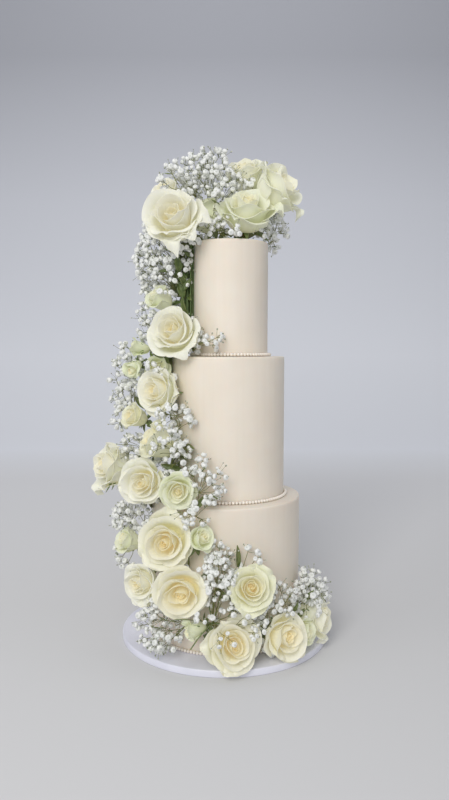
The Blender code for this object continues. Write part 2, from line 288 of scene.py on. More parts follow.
WALL_DISTANCE = 1.9
WALL_HEIGHT = 5
FLOOR_SIZE = 12
FLOOR_DROP = 0.2 * MM
CAMERA_PLACE = (0, -1.0037, 0.4236)
CAMERA_TILT = 4.18
CAMERA_LENS = 30.6
WORLD_COLOUR = (0.94, 0.96, 1.0, 1)
WORLD_STRENGTH = 0.53
DIFFUSE_BOUNCES = 8
CAKE_MIDDLE = (0, 0, 0.35)

# Each light: place, what it points at, width, power and colour.
LIGHTS = {
    "key": ((-0.62, -2.35, 1.6), CAKE_MIDDLE, 1.3, 36, (1.0, 0.98, 0.95)),
    "backdrop": ((0, 0.5, 2.4), (0, WALL_DISTANCE, 0.2), 1.6, 9, (0.97, 0.98, 1.0)),
    "fill": ((-1.8, -1.2, 0.9), CAKE_MIDDLE, 1.5, 3, (0.96, 0.98, 1.0)),
}


# ------------------------ small helpers


def deselect_all():
    bpy.ops.object.select_all(action="DESELECT")


def make_active(piece):
    deselect_all()
    piece.select_set(True)
    bpy.context.view_layer.objects.active = piece


def add_to_scene(name, data, place=(0, 0, 0)):
    made = bpy.data.objects.new(name, data)
    bpy.context.scene.collection.objects.link(made)
    made.location = place
    return made


def begin(primitive, name, **sizes):
    """Adds a primitive to shape further, with nothing else selected."""
    deselect_all()
    primitive(**sizes)
    piece = bpy.context.object
    piece.name = name
    return piece


def apply_modifiers(piece):
    make_active(piece)
    for modifier in list(piece.modifiers):
        bpy.ops.object.modifier_apply(modifier=modifier.name)


def read_points(piece):
    points = np.empty(len(piece.data.vertices) * 3)
    piece.data.vertices.foreach_get("co", points)
    return points.reshape(-1, 3)


def write_points(piece, points):
    piece.data.vertices.foreach_set("co", np.ascontiguousarray(points, dtype=np.float32).ravel())
    piece.data.update()


def select_only(piece, parts):
    """Leaves only these edges or faces selected in edit mode."""
    bpy.ops.mesh.select_all(action="DESELECT")
    for part in parts:
        part.select = True
    bmesh.update_edit_mesh(piece.data)


def row_of_copies(piece, count, step):
    """Rows up copies of a piece. Gives every point as in the first copy, and its copy's number."""
    row = piece.modifiers.new("Copies", "ARRAY")
    row.count = count
    row.use_relative_offset = False
    row.use_constant_offset = True
    row.constant_offset_displace = (step, 0, 0)
    apply_modifiers(piece)
    points = read_points(piece)
    number = np.round(points[:, 0] / step).astype(int)
    points[:, 0] -= step * number
    return points, number


def thicken(piece, thickness, offset=-1):
    wall = piece.modifiers.new("Thickness", "SOLIDIFY")
    wall.thickness = thickness
    wall.offset = offset
    apply_modifiers(piece)


def paint(piece, name, *channels):
    """Keeps four values at every point of a piece, for its material to read."""
    tones = np.empty((len(piece.data.vertices), 4), dtype=np.float32)
    for index, values in enumerate(channels):
        tones[:, index] = values
    attribute = piece.data.attributes.new(name, "FLOAT_COLOR", "POINT")
    attribute.data.foreach_set("color", tones.ravel())


def finish_piece(piece, material, slot, *nodes, smooth=True):
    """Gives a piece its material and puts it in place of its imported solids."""
    piece.data.materials.append(material)
    if smooth:
        piece.data.shade_smooth()
    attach(piece, "root")
    if nodes:
        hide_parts(*nodes)


def facing(azimuth, elevation):
    turn = radians(azimuth)
    lift = radians(elevation)
    return Vector((sin(turn) * cos(lift), -cos(turn) * cos(lift), sin(lift)))


def aimed_matrix(place, direction, spin, size):
    """Puts a shape modelled round the origin, its own axis along +Z, at a place in a direction."""
    turn = direction.to_track_quat("Z", "Y").to_matrix().to_4x4()
    spin_matrix = Matrix.Rotation(spin, 4, "Z")
    return Matrix.Translation(place) @ turn @ spin_matrix @ Matrix.Diagonal((*size, 1))


# ------------------------ materials


def new_material(name, sockets):
    """A material, its nodes and its shader with these constants on its own sockets."""
    made = bpy.data.materials.new(name)
    made.use_nodes = True
    shader = made.node_tree.nodes["Principled BSDF"]
    for socket, value in sockets.items():
        shader.inputs[socket].default_value = value
    return made, made.node_tree, shader


def add_node(tree, kind, **settings):
    node = tree.nodes.new(kind)
    for key, value in settings.items():
        if key in node.inputs:
            node.inputs[key].default_value = value
        else:
            setattr(node, key, value)
    return node


def coordinates(tree, scale=(1, 1, 1), source="Object"):
    mapping = add_node(tree, "ShaderNodeMapping", Scale=scale)
    tree.links.new(add_node(tree, "ShaderNodeTexCoord").outputs[source], mapping.inputs["Vector"])
    return mapping.outputs["Vector"]


def noise_texture(tree, scale, detail, stretch=(1, 1, 1), source="Object"):
    texture = add_node(tree, "ShaderNodeTexNoise", Scale=scale, Detail=detail, Roughness=0.5)
    tree.links.new(coordinates(tree, stretch, source), texture.inputs["Vector"])
    return texture.outputs["Fac"]


def painted(tree, name):
    """The four values that paint keeps under this name."""
    tone = add_node(tree, "ShaderNodeAttribute", attribute_name=name)
    parts = add_node(tree, "ShaderNodeSeparateColor")
    tree.links.new(tone.outputs["Color"], parts.inputs["Color"])
    return *parts.outputs, tone.outputs["Alpha"]


def ramp(tree, factor, *stops):
    """A colour ramp; each stop is (position, colour)."""
    node = add_node(tree, "ShaderNodeValToRGB")
    while len(node.color_ramp.elements) < len(stops):
        node.color_ramp.elements.new(0.5)
    for element, (position, colour) in zip(node.color_ramp.elements, stops):
        element.position = position
        element.color = (*colour, 1)
    tree.links.new(factor, node.inputs["Fac"])
    return node.outputs["Color"]


def mix_colours(tree, factor, first, second, blend="MIX"):
    node = add_node(tree, "ShaderNodeMix", data_type="RGBA", blend_type=blend)
    if isinstance(factor, float):
        node.inputs[0].default_value = factor
    else:
        tree.links.new(factor, node.inputs[0])
    for socket, colour in ((node.inputs[6], first), (node.inputs[7], second)):
        if isinstance(colour, tuple):
            socket.default_value = (*colour, 1)
        else:
            tree.links.new(colour, socket)
    return node.outputs[2]


def arithmetic(tree, operation, first, second, clamp=False):
    node = add_node(tree, "ShaderNodeMath", operation=operation, use_clamp=clamp)
    for socket, value in zip(node.inputs, (first, second)):
        if isinstance(value, (int, float)):
            socket.default_value = value
        else:
            tree.links.new(value, socket)
    return node.outputs[0]


def product(tree, first, second, clamp=False):
    return arithmetic(tree, "MULTIPLY", first, second, clamp)


def total(tree, first, second, clamp=False):
    return arithmetic(tree, "ADD", first, second, clamp)


def colour_and_relief(tree, shader, colour, height, distance, strength):
    tree.links.new(colour, shader.inputs["Base Color"])
    bump = add_node(tree, "ShaderNodeBump", Strength=strength, Distance=distance)
    tree.links.new(height, bump.inputs["Height"])
    tree.links.new(bump.outputs["Normal"], shader.inputs["Normal"])


def icing_material():
    """Smoothed ivory icing with faint upright scraper streaks and tiny pores."""
    made, tree, shader = new_material("ivory_icing", {
        "Subsurface Weight": 0.25,
        "Subsurface Radius": (0.010, 0.007, 0.005),
        "Subsurface Scale": 0.6,
        "Specular IOR Level": 0.35,
    })
    streaks = noise_texture(tree, 1.0, 4.0, (160, 160, 3))
    clouds = noise_texture(tree, 14.0, 3.0)
    pores = noise_texture(tree, 900.0, 2.0)
    tone = total(tree, product(tree, streaks, 0.25), product(tree, clouds, 0.75))
    colour = ramp(tree, tone, (0.35, (0.815, 0.735, 0.628)), (0.65, (0.860, 0.790, 0.692)))
    tree.links.new(total(tree, product(tree, clouds, 0.18), 0.40), shader.inputs["Roughness"])
    relief = total(tree, streaks, product(tree, pores, 0.12))
    colour_and_relief(tree, shader, colour, relief, 0.00025, 0.6)
    return made


def pearl_material():
    made, tree, shader = new_material("sugar_pearl", {"Roughness": 0.28, "Coat Weight": 0.3})
    tone = noise_texture(tree, 220.0, 1.0)
    colour = ramp(tree, tone, (0.3, (0.86, 0.79, 0.70)), (0.7, (0.94, 0.89, 0.82)))
    tree.links.new(colour, shader.inputs["Base Color"])
    return made


def board_material():
    """White foil pressed on to a drum, with a fine pebble grain."""
    made, tree, shader = new_material("drum_foil", {"Roughness": 0.34})
    clouds = noise_texture(tree, 18.0, 2.0)
    colour = ramp(tree, clouds, (0.35, (0.75, 0.755, 0.85)), (0.65, (0.82, 0.825, 0.92)))
    colour_and_relief(tree, shader, colour, noise_texture(tree, 700.0, 2.0), 0.0002, 0.5)
    return made


def petal_material(name, heart, middle, cream, white):
    """Rose petals: warm at the heart, white at the rims, greenish low on the outer petals.

    Painted on them are the petal's share from heart to outside, the place along the petal from
    foot to rim, a chance value for each petal and how green the whole flower is.
    """
    made, tree, shader = new_material(name, {
        "Roughness": 0.55,
        "Specular IOR Level": 0.3,
        "Subsurface Weight": 0.2,
        "Subsurface Radius": (0.0020, 0.0018, 0.0012),
        "Subsurface Scale": 1.0,
        # Petals let light through; this faint glow of their own colour stands for it.
        "Emission Color": (1.0, 0.95, 0.76, 1),
        "Emission Strength": 0.08,
    })
    share, along, chance, tint = painted(tree, "petal_tone")
    deep = ramp(tree, share, (0.0, heart), (0.6, middle), (1.0, cream))
    edge = ramp(tree, share, (0.0, middle), (0.35, cream), (0.7, white))
    rim = product(tree, arithmetic(tree, "SUBTRACT", along, 0.25), 2.0, True)
    body = mix_colours(tree, rim, deep, edge)
    outside = arithmetic(tree, "SUBTRACT", share, 0.62, True)
    low = arithmetic(tree, "SUBTRACT", 1.0, along)
    hint = product(tree, product(tree, product(tree, outside, 1.6), low), chance)
    wash = product(tree, tint, total(tree, share, 0.15))
    greenness = total(tree, hint, product(tree, wash, 0.75), True)
    body = mix_colours(tree, greenness, body, (0.56, 0.66, 0.32))
    veins = noise_texture(tree, 1.0, 3.0, (60, 2.5, 1), "UV")
    shaded = mix_colours(tree, product(tree, veins, 0.12), body, (0.80, 0.79, 0.66))
    colour_and_relief(tree, shader, shaded, veins, 0.0002, 0.5)
    return made


def leaf_material(name, dark, light, roughness):
    made, tree, shader = new_material(name, {
        "Roughness": roughness,
        "Subsurface Weight": 0.15,
        "Subsurface Scale": 0.2,
    })
    tone = noise_texture(tree, 130.0, 3.0)
    colour_and_relief(tree, shader, ramp(tree, tone, (0.3, dark), (0.7, light)), tone, 0.0003, 0.5)
    return made


def floret_material():
    """White frilled florets with painted shade, a darker grey-green, in the dimple, no two quite alike."""
    made, tree, shader = new_material("gypsophila_floret", {
        "Roughness": 0.7,
        "Specular IOR Level": 0.3,
        # The thin florets let light through; this faint glow stands for it.
        "Emission Color": (0.94, 0.97, 1.0, 1),
        "Emission Strength": 0.05,
    })
    centre, chance, *_ = painted(tree, "tone")
    grain = noise_texture(tree, 500.0, 2.0)
    frills = ramp(tree, grain, (0.35, (0.77, 0.775, 0.76)), (0.6, (0.88, 0.885, 0.87)))
    varied = mix_colours(tree, product(tree, chance, 0.30), frills, (0.80, 0.81, 0.72))
    # Painted shade: the dimple at the top of each floret is darkened towards grey-green.
    colour = mix_colours(tree, product(tree, centre, 0.70), varied, (0.42, 0.46, 0.40))
    colour_and_relief(tree, shader, colour, grain, 0.0003, 0.6)
    return made


def bud_material():
    """Shut buds, green at the foot and whitish at the tip."""
    made, tree, shader = new_material("gypsophila_bud", {"Roughness": 0.55})
    along, chance, *_ = painted(tree, "tone")
    whiteness = product(tree, along, total(tree, chance, 0.2), True)
    colour = mix_colours(tree, whiteness, (0.17, 0.20, 0.09), (0.78, 0.80, 0.72))
    colour_and_relief(tree, shader, colour, noise_texture(tree, 700.0, 2.0), 0.0002, 0.6)
    return made


icing = icing_material()
sugar_pearl = pearl_material()
drum_foil = board_material()
rose_petals = {
    "white": petal_material(
        "white_rose_petal", (0.95, 0.81, 0.42), (0.91, 0.835, 0.58), (0.85, 0.82, 0.68), (0.81, 0.80, 0.73)
    ),
    "cream": petal_material(
        "cream_rose_petal", (0.96, 0.77, 0.34), (0.92, 0.81, 0.48), (0.86, 0.805, 0.61), (0.81, 0.785, 0.67)
    ),
}
leaf_green = leaf_material("leaf_green", (0.062, 0.102, 0.018), (0.160, 0.215, 0.055), 0.42)
calyx_green = leaf_material("calyx_green", (0.16, 0.25, 0.07), (0.30, 0.40, 0.14), 0.5)
rose_stem_green = leaf_material("rose_stem_green", (0.07, 0.12, 0.03), (0.14, 0.20, 0.06), 0.45)
stem_green = leaf_material("stem_green", (0.090, 0.100, 0.018), (0.190, 0.200, 0.045), 0.55)
floret_white = floret_material()
bud_green = bud_material()


# ------------------------ cake and board


def turned_drum(name, node, edge, steps, levels, waver):
    """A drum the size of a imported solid, its edges rounded and its side a touch uneven."""
    lowest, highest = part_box(node)
    centre = [(low + high) / 2 for low, high in zip(lowest, highest)]
    radius = (highest[0] - lowest[0]) / 2
    height = highest[2] - lowest[2]
    cylinder = bpy.ops.mesh.primitive_cylinder_add
    drum = begin(cylinder, name, vertices=steps, radius=radius, depth=height, location=centre)
    bpy.ops.object.transform_apply(location=True, rotation=False, scale=False)
    bpy.ops.object.mode_set(mode="EDIT")
    shape = bmesh.from_edit_mesh(drum.data)
    rims = [line for line in shape.edges if len({round(vert.co.z, 6) for vert in line.verts}) == 1]
    select_only(drum, rims)
    bpy.ops.mesh.bevel(offset=edge, segments=4, profile=0.5)
    sides = [line for line in shape.edges if abs(line.verts[0].co.z - line.verts[1].co.z) > height / 2]
    select_only(drum, sides)
    bpy.ops.mesh.subdivide(number_cuts=levels)
    select_only(drum, [face for face in shape.faces if len(face.verts) == steps])
    for inset in (0.35, 0.5):
        bpy.ops.mesh.inset(thickness=radius * inset)
    bpy.ops.mesh.poke()
    bpy.ops.object.mode_set(mode="OBJECT")
    points = read_points(drum)
    turn = np.arctan2(points[:, 1] - centre[1], points[:, 0] - centre[0])
    rise = (points[:, 2] - lowest[2]) / height
    swell = np.sin(3 * turn + 4 * rise + 1) + 0.6 * np.sin(7 * turn - 3 * rise)
    swell += 0.4 * np.sin(13 * turn + 6 * rise + 2)
    points[:, :2] -= (points[:, :2] - np.array(centre[:2])) / radius * (waver * (swell[:, None] + 2))
    top = points[:, 2] > highest[2] - 0.2 * MM
    points[top, 2] -= waver * (1 + np.sin(40 * points[top, 0]) * np.cos(34 * points[top, 1]))
    write_points(drum, points)
    make_active(drum)
    bpy.ops.object.shade_smooth_by_angle(angle=DRUM_CREASE)
    return drum


def make_tiers():
    for name in TIER_NAMES:
        node = "tier_" + name
        tier = turned_drum("icing_" + name, node, TIER_EDGE, TIER_STEPS, TIER_LEVELS, WALL_WAVER)
        finish_piece(tier, icing, "icing", node, smooth=False)


def make_board():
    board = turned_drum("drum_board", "cake_board", BOARD_EDGE, BOARD_STEPS, 1, 0)
    finish_piece(board, drum_foil, "board", "cake_board", smooth=False)


def make_pearls():
    """A ring of sugar pearls round the foot of each tier, one piece a ring."""
    for name in TIER_NAMES:
        node = "pearl_border_" + name
        lowest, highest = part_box(node)
        pearl_radius = (highest[2] - lowest[2]) / 2
        centre_x = (lowest[0] + highest[0]) / 2
        ring_radius = (highest[0] - lowest[0]) / 2 - pearl_radius
        count = round(2 * pi * ring_radius / PEARL_PITCH)
        sphere = bpy.ops.mesh.primitive_uv_sphere_add
        pearls = begin(sphere, "pearls_" + name, segments=9, ring_count=6, radius=pearl_radius * 1.1)
        points, number = row_of_copies(pearls, count, 1)
        sizes = np.random.default_rng(5).uniform(*PEARL_SIZES, count)[number]
        points *= sizes[:, None]
        turn = 2 * pi * number / count
        placed = np.empty_like(points)
        outward = ring_radius + points[:, 0]
        placed[:, 0] = centre_x + outward * np.cos(turn) - points[:, 1] * np.sin(turn)
        placed[:, 1] = outward * np.sin(turn) + points[:, 1] * np.cos(turn)
        placed[:, 2] = lowest[2] + pearl_radius + points[:, 2]
        write_points(pearls, placed)
        finish_piece(pearls, sugar_pearl, "sugar_pearls", node)


# ------------------------ roses


def meridian(share, reach, height, foot, along):
    """A petal's line from foot to rim: distance from the axis, height and slope angle."""
    # Inner petals close in towards their rim, outer ones rise and then flare out.
    knots = (
        (0.06, foot),
        (0.10 + 0.80 * reach, foot + 0.02),
        (reach * (1.07 - 0.30 * share**2), foot + (0.55 + 0.50 * share**2) * (height - foot)),
        (reach, height),
    )
    back = 1 - along
    weights = (back**3, 3 * along * back**2, 3 * along * along * back, along**3)
    slopes = (3 * back**2, 6 * along * back, 3 * along * along)
    out, up = (sum(w * knot[axis] for w, knot in zip(weights, knots)) for axis in (0, 1))
    run, rise = (sum(w * (b[axis] - a[axis]) for w, a, b in zip(slopes, knots, knots[1:])) for axis in (0, 1))
    return out, up, np.arctan2(run, rise)


def petal_points(share, turn, stretch, form, rng, across, along, heart_lean, squeeze):
    """The points of one petal in shares of the rose's radius, with the rose's axis along +Z."""
    shape = FORMS[form]
    tables = ("reaches", "heights", "half_turns", "rolls")
    reach, height, half_turn, roll = (np.interp(share, SHARES, shape[table]) for table in tables)
    reach = reach * rng.uniform(0.93, 1.07) * stretch**0.5
    height = height + rng.uniform(-0.05, 0.05)
    half_turn = radians(half_turn) * rng.uniform(0.9, 1.1) / stretch**1.5
    roll = radians(roll) * rng.uniform(0.75, 1.15) / stretch**3
    point = share * (rng.uniform(*shape["points"]) + 0.6 * (stretch - 1))
    edge = np.abs(across)
    # The rim falls away to both sides and the outer petals have a pointed tip.
    length = 0.5 + 0.5 * np.sqrt(np.maximum(1 - edge**3, 0)) + point * (1 - edge) ** 2.4
    place = along * length
    band = 0.14 + 0.26 * share * np.sin(pi * np.minimum(edge + 0.12, 1))
    start = np.maximum(length - band, 0.05)
    out, up, slope = meridian(share, reach, height, shape["foot"], np.minimum(place, start))
    span = (height - shape["foot"]) * 1.15
    beyond = np.maximum(place - start, 0) * span
    # The sides of an outer petal roll back more than its middle, which leaves a point.
    curl = roll * (1 - share + share * (0.35 + 1.25 * np.sin(pi * edge))) / (band * span)
    curl = np.maximum(curl, 0.01)
    out = out + (np.cos(slope) - np.cos(slope + curl * beyond)) / curl
    up = up + (np.sin(slope + curl * beyond) - np.sin(slope)) / curl
    tuck = np.interp(share, (0, 0.3, 1), (0.30, 0.16, 0.07))
    out = out * (1 + tuck * across)
    # Outer petals lie flatter than a ring, so the rose's outline has corners.
    out = out * (1 + 0.10 * share * (1 / np.cos(np.minimum(edge * half_turn, 1.1)) - 1) * along)
    phases = rng.uniform(0, 2 * pi, 4)
    sway = np.sin(2.1 * across + phases[0]) * np.sin(3.2 * along + phases[1])
    ripple = np.sin(4.2 * across + phases[2]) + 0.5 * np.sin(7.3 * across + phases[3])
    out = out + 0.024 * sway * along + 0.008 * ripple * along**4 * (0.2 + share)
    up = up + 0.014 * ripple * along**3 * (0.2 + share)
    narrow = 0.62 + 0.38 * np.sin(pi / 2 * np.minimum(along * 1.4, 1))
    angle = turn + across * half_turn * narrow
    rise = up - shape["foot"]
    lean = rng.normal(0, 0.035, 2) + heart_lean * (1 - share)
    side = out * np.sin(angle) * (1 - squeeze * (1 - share**2))
    return np.stack([out * np.cos(angle) + lean[0] * rise, side + lean[1] * rise, up], axis=-1)


def make_petals(name, form, seed, tint, pointed):
    """All the petals of one rose, shaped from copies of one flat grid; the pointed ones come last."""
    round_count = FORMS[form]["petals"]
    count = round_count + len(pointed)
    grid = bpy.ops.mesh.primitive_grid_add
    petals = begin(grid, name, x_subdivisions=PETAL_ACROSS, y_subdivisions=PETAL_ALONG, size=2)
    points, number = row_of_copies(petals, count, PETAL_STEP)
    across = points[:, 0].copy()
    along = (points[:, 1] + 1) / 2
    rng = np.random.default_rng(seed)
    heart_lean = rng.uniform(-HEART_LEAN, HEART_LEAN, 2)
    squeeze = rng.uniform(0, HEART_SQUEEZE)
    shares = np.empty(len(points))
    chances = np.empty(len(points))
    for petal in range(count):
        mine = number == petal
        share = min(petal / (round_count - 1), 1.0)
        turn = petal * GOLDEN_ANGLE + radians(rng.uniform(-PETAL_TURN_PLAY, PETAL_TURN_PLAY))
        stretch = 1.0
        if petal >= round_count:
            turn, stretch = pointed[petal - round_count]
        points[mine] = petal_points(
            share, turn, stretch, form, rng, across[mine], along[mine], heart_lean, squeeze
        )
        shares[mine] = share
        chances[mine] = rng.uniform(0, 1)
    write_points(petals, points)
    paint(petals, "petal_tone", shares, along, chances, tint)
    return petals


def turn_towards(aim, direction, spin):
    """The turn about a flower's own axis at which a petal points to aim."""
    turned = direction.to_track_quat("Z", "Y").to_matrix() @ Matrix.Rotation(radians(spin), 3, "Z")
    local = turned.transposed() @ Vector(aim)
    return atan2(local.y, local.x)


def rose_place(node, width, azimuth, elevation):
    """The heart of a rose and the way it faces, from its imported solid."""
    lowest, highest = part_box(node)
    direction = facing(azimuth, elevation)
    return (lowest + highest) / 2 + direction * (0.1 * width), direction


def make_rose(node, width, azimuth, elevation, spin, form, green, colour, seed):
    """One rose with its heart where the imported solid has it."""
    radius = width / 2 * ROSE_FILL
    centre, direction = rose_place(node, width, azimuth, elevation)
    aims = POINTED_PETALS.get(node, ())
    pointed = [(turn_towards(aim, direction, spin), stretch) for aim, stretch in aims]
    petals = make_petals("petals_" + node, form, seed, green, pointed)
    petals.data.transform(aimed_matrix(centre, direction, radians(spin), (radius, radius, radius)))
    thicken(petals, PETAL_THICKNESS, 0)
    bpy.ops.object.shade_smooth_by_angle(angle=PETAL_CREASE)
    finish_piece(petals, rose_petals[colour], "petals", node, smooth=False)


def make_roses():
    for seed, (node, sizes) in enumerate(ROSES.items()):
        make_rose(node, *sizes, seed + 11)


# ------------------------ baby's breath


def copies_in_places(template, matrices):
    """Copies of the template, each in its place. Gives every point as in the first, and its number."""
    local, number = row_of_copies(template, len(matrices), COPY_STEP)
    turns = np.array([np.array(matrix) for matrix in matrices])[number]
    placed = np.einsum("nij,nj->ni", turns[:, :3, :3], local) + turns[:, :3, 3]
    write_points(template, placed)
    return local, number


def floret_template():
    """A double floret one unit wide, its frilled petals in two rows round a dimple, open towards +Z."""
    sphere = bpy.ops.mesh.primitive_uv_sphere_add
    floret = begin(sphere, "gypsophila_florets", segments=10, ring_count=5, radius=0.5)
    points = read_points(floret)
    turn = np.arctan2(points[:, 1], points[:, 0])
    lift = points[:, 2] / 0.5
    level = np.round(lift * 10)
    stagger = np.where(level > 3, pi, 0.0)
    frill = 1 + 0.22 * np.cos(5 * turn + stagger) * (1 - np.abs(lift) ** 4)
    points[:, :2] *= frill[:, None]
    points[:, 2] *= 0.74
    points[:, 2] += 0.06 * np.cos(5 * turn + stagger + 1.2) * (np.abs(lift) < 0.95)
    points[lift > 0.99, 2] = 0.20
    write_points(floret, points)
    return floret


def bud_template():
    """A shut bud one unit long, pointed towards +Z."""
    sphere = bpy.ops.mesh.primitive_uv_sphere_add
    bud = begin(sphere, "gypsophila_buds", segments=6, ring_count=4, radius=0.5)
    points = read_points(bud)
    points[:, :2] *= (0.72 - 0.35 * points[:, 2])[:, None]
    write_points(bud, points)
    return bud


def rose_rooms():
    """Centre, direction and radius of each rose, which the baby's breath leaves free."""
    rooms = []
    for node, (width, azimuth, elevation, *_) in ROSES.items():
        rooms.append((*rose_place(node, width, azimuth, elevation), width / 2 * ROSE_FILL))
    return rooms


def tier_rooms():
    """Shift, radius, foot and top of each tier."""
    rooms = []
    for name in TIER_NAMES:
        lowest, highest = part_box("tier_" + name)
        rooms.append(((lowest.x + highest.x) / 2, (highest.x - lowest.x) / 2, lowest.z, highest.z))
    return rooms


ROSE_ROOMS = rose_rooms()
TIER_ROOMS = tier_rooms()


def in_a_rose(point, margin=0, rooms=ROSE_ROOMS):
    for centre, direction, radius in rooms:
        away = point - centre
        along = away.dot(direction)
        side = (away - along * direction).length
        inside = ROSE_ROOM_BACK * radius < along < ROSE_ROOM_FRONT * radius
        if inside and side < ROSE_ROOM_REACH * radius + margin:
            return True
    return False


def in_the_cake(point, margin):
    if point.z < BOARD_TOP + margin and hypot(point.x, point.y) < BOARD_REACH + margin:
        return True
    for shift, radius, low, high in TIER_ROOMS:
        if low - margin < point.z < high + margin and hypot(point.x - shift, point.y) < radius + margin:
            return True
    return False


def bent_route(start, end, bow, points=3):
    """A line from start to end that bows sideways in its middle."""
    route = []
    for step in range(points):
        share = step / (points - 1)
        route.append(start.lerp(end, share) + bow * (4 * share * (1 - share)))
    return route


def add_stem(kinds, kind, start, end, bow):
    kinds["stems"].append((bent_route(start, end, bow), STEM_RADII[kind]))


def random_direction(rng):
    return Vector(rng.normal(0, 1, 3)).normalized()


def before_a_leaf(point):
    """Whether a place would hide the upright leaf."""
    lowest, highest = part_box("leaf_01")
    beside = lowest.x - 5 * MM < point.x < highest.x + 5 * MM
    return beside and lowest.z < point.z < highest.z + 6 * MM and point.y < highest.y


def fork_places(node, fullness, rng):
    """Places all through a cloud's solid where a stem forks into a little head of florets."""
    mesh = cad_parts[node].data
    corners = [vert.co for vert in mesh.vertices]
    solid = BVHTree.FromPolygons(corners, [tuple(face.vertices) for face in mesh.polygons])
    lowest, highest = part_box(node)
    tries = int(np.prod(np.array(highest - lowest)) / FORK_SPACING**3 * TRIES_A_FORK)
    found = []
    for point in rng.uniform(lowest, highest, (tries, 3)):
        point = Vector(point)
        nearest, normal, _, distance = solid.find_nearest(point)
        if (point - nearest).dot(normal) > 0:
            continue
        if distance > DEEP_IN_CLOUD and rng.uniform() < DEEP_FORKS_LEFT_OUT:
            continue
        if rng.uniform() > fullness:
            continue
        if in_the_cake(point, ROOM_FOR_FORK) or in_a_rose(point) or before_a_leaf(point):
            continue
        if any((point - other).length < FORK_SPACING for other in found):
            continue
        found.append(point)
    return found


def grow_head(fork, outward, count, kinds, rng, roses=ROSE_ROOMS):
    """A head of florets and buds on thin pedicels that spread from one fork."""
    tips = []
    for _ in range(count * 3):
        if len(tips) == count:
            break
        side = (outward + random_direction(rng) * HEAD_SPREAD).normalized()
        tip = fork + side * rng.uniform(*PEDICEL_LENGTHS)
        if in_the_cake(tip, ROOM_FOR_FLORET) or in_a_rose(tip, 2 * MM, roses) or before_a_leaf(tip):
            continue
        if any((tip - other).length < FLORET_SPACING for other in tips):
            continue
        tips.append(tip)
        look = (side + Vector(FLORET_TILT) + random_direction(rng) * 0.5).normalized()
        width = rng.uniform(*FLORET_WIDTHS)
        size = width * rng.uniform(0.85, 1.1, 3)
        kinds["florets"].append(aimed_matrix(tip, look, rng.uniform(0, 6), size))
        add_stem(kinds, "floret", fork, tip - side * MM, random_direction(rng) * PEDICEL_BOW)
    for _ in range(rng.integers(*BUD_COUNTS)):
        side = (outward + random_direction(rng) * HEAD_SPREAD * 0.9).normalized()
        tip = fork + side * rng.uniform(*BUD_PEDICELS)
        if in_the_cake(tip, ROOM_FOR_BUD) or in_a_rose(tip, 0, roses):
            continue
        length = rng.uniform(*BUD_LENGTHS)
        kinds["buds"].append(aimed_matrix(tip, side, rng.uniform(0, 6), (length, length, length)))
        end = tip - side * length * 0.4
        add_stem(kinds, "bud", fork, end, random_direction(rng) * PEDICEL_BOW)


def grow_cloud(node, seed, kinds):
    """Heads of florets all through one cloud, on stems that branch from its root in the bouquet."""
    rng = np.random.default_rng(seed)
    lowest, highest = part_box(node)
    middle = (lowest + highest) / 2
    size = highest - lowest
    root, fullness = CLOUDS.get(node.removeprefix("gypsophila_"), (None, 1))
    forks = fork_places(node, fullness, rng)
    if root:
        root = Vector(root) * MM
    else:
        inward = Vector((TIER_ROOMS[1][0] - middle.x, -middle.y, 0)).normalized()
        root = middle + inward * (0.3 * min(size.x, size.y)) - Vector((0, 0, 0.4 * size.z))
    branch_count = max(1, len(forks) // 4)
    branches = []
    for index in rng.choice(len(forks), branch_count, replace=False):
        branch = root.lerp(forks[index], rng.uniform(0.45, 0.7)) + random_direction(rng) * SPRIG_BOW
        branches.append(branch)
        add_stem(kinds, "root", root, branch, random_direction(rng) * SPRIG_BOW)
    for fork in forks:
        branch = min(branches, key=lambda candidate: (candidate - fork).length)
        add_stem(kinds, "branch", branch, fork, random_direction(rng) * BRANCH_BOW)
        outward = ((fork - root).normalized() + (fork - middle).normalized()).normalized()
        grow_head(fork, outward, rng.integers(*HEAD_COUNTS), kinds, rng)
        if rng.uniform() < LEAFLET_CHANCE:
            aim = (outward + random_direction(rng)).normalized()
            length = rng.uniform(*LEAFLET_LENGTHS)
            kinds["leaflets"].append(aimed_matrix(fork, aim, rng.uniform(0, 6), (length, length, length)))


def grow_sprig(root, fork, count, kinds, rng):
    """One sprig before the roses: a stem from its root to a fork with a few florets."""
    start = Vector(root) * MM
    end = Vector(fork) * MM
    add_stem(kinds, "sprig", start, end, random_direction(rng) * SPRIG_BOW)
    outward = ((end - start).normalized() + Vector((0, -0.2, 0.2))).normalized()
    grow_head(end, outward, count, kinds, rng, [])


def grow_round_rose(centre, direction, radius, kinds, rng):
    """A few heads of florets that show past the rim of one rose."""
    across = direction.orthogonal().normalized()
    for step in range(HEADS_ROUND_ROSE):
        turn = 2 * pi * (step + rng.uniform(0, 0.8)) / HEADS_ROUND_ROSE
        outward = Matrix.Rotation(turn, 3, direction) @ across
        fork = centre + outward * (0.72 * radius) - direction * (0.75 * radius)
        if in_the_cake(fork, 5 * MM):
            continue
        start = centre - direction * (1.2 * radius)
        add_stem(kinds, "rose", start, fork, outward * -SPRIG_BOW)
        aim = (outward + direction * 0.35).normalized()
        grow_head(fork, aim, rng.integers(*HEAD_COUNTS), kinds, rng)


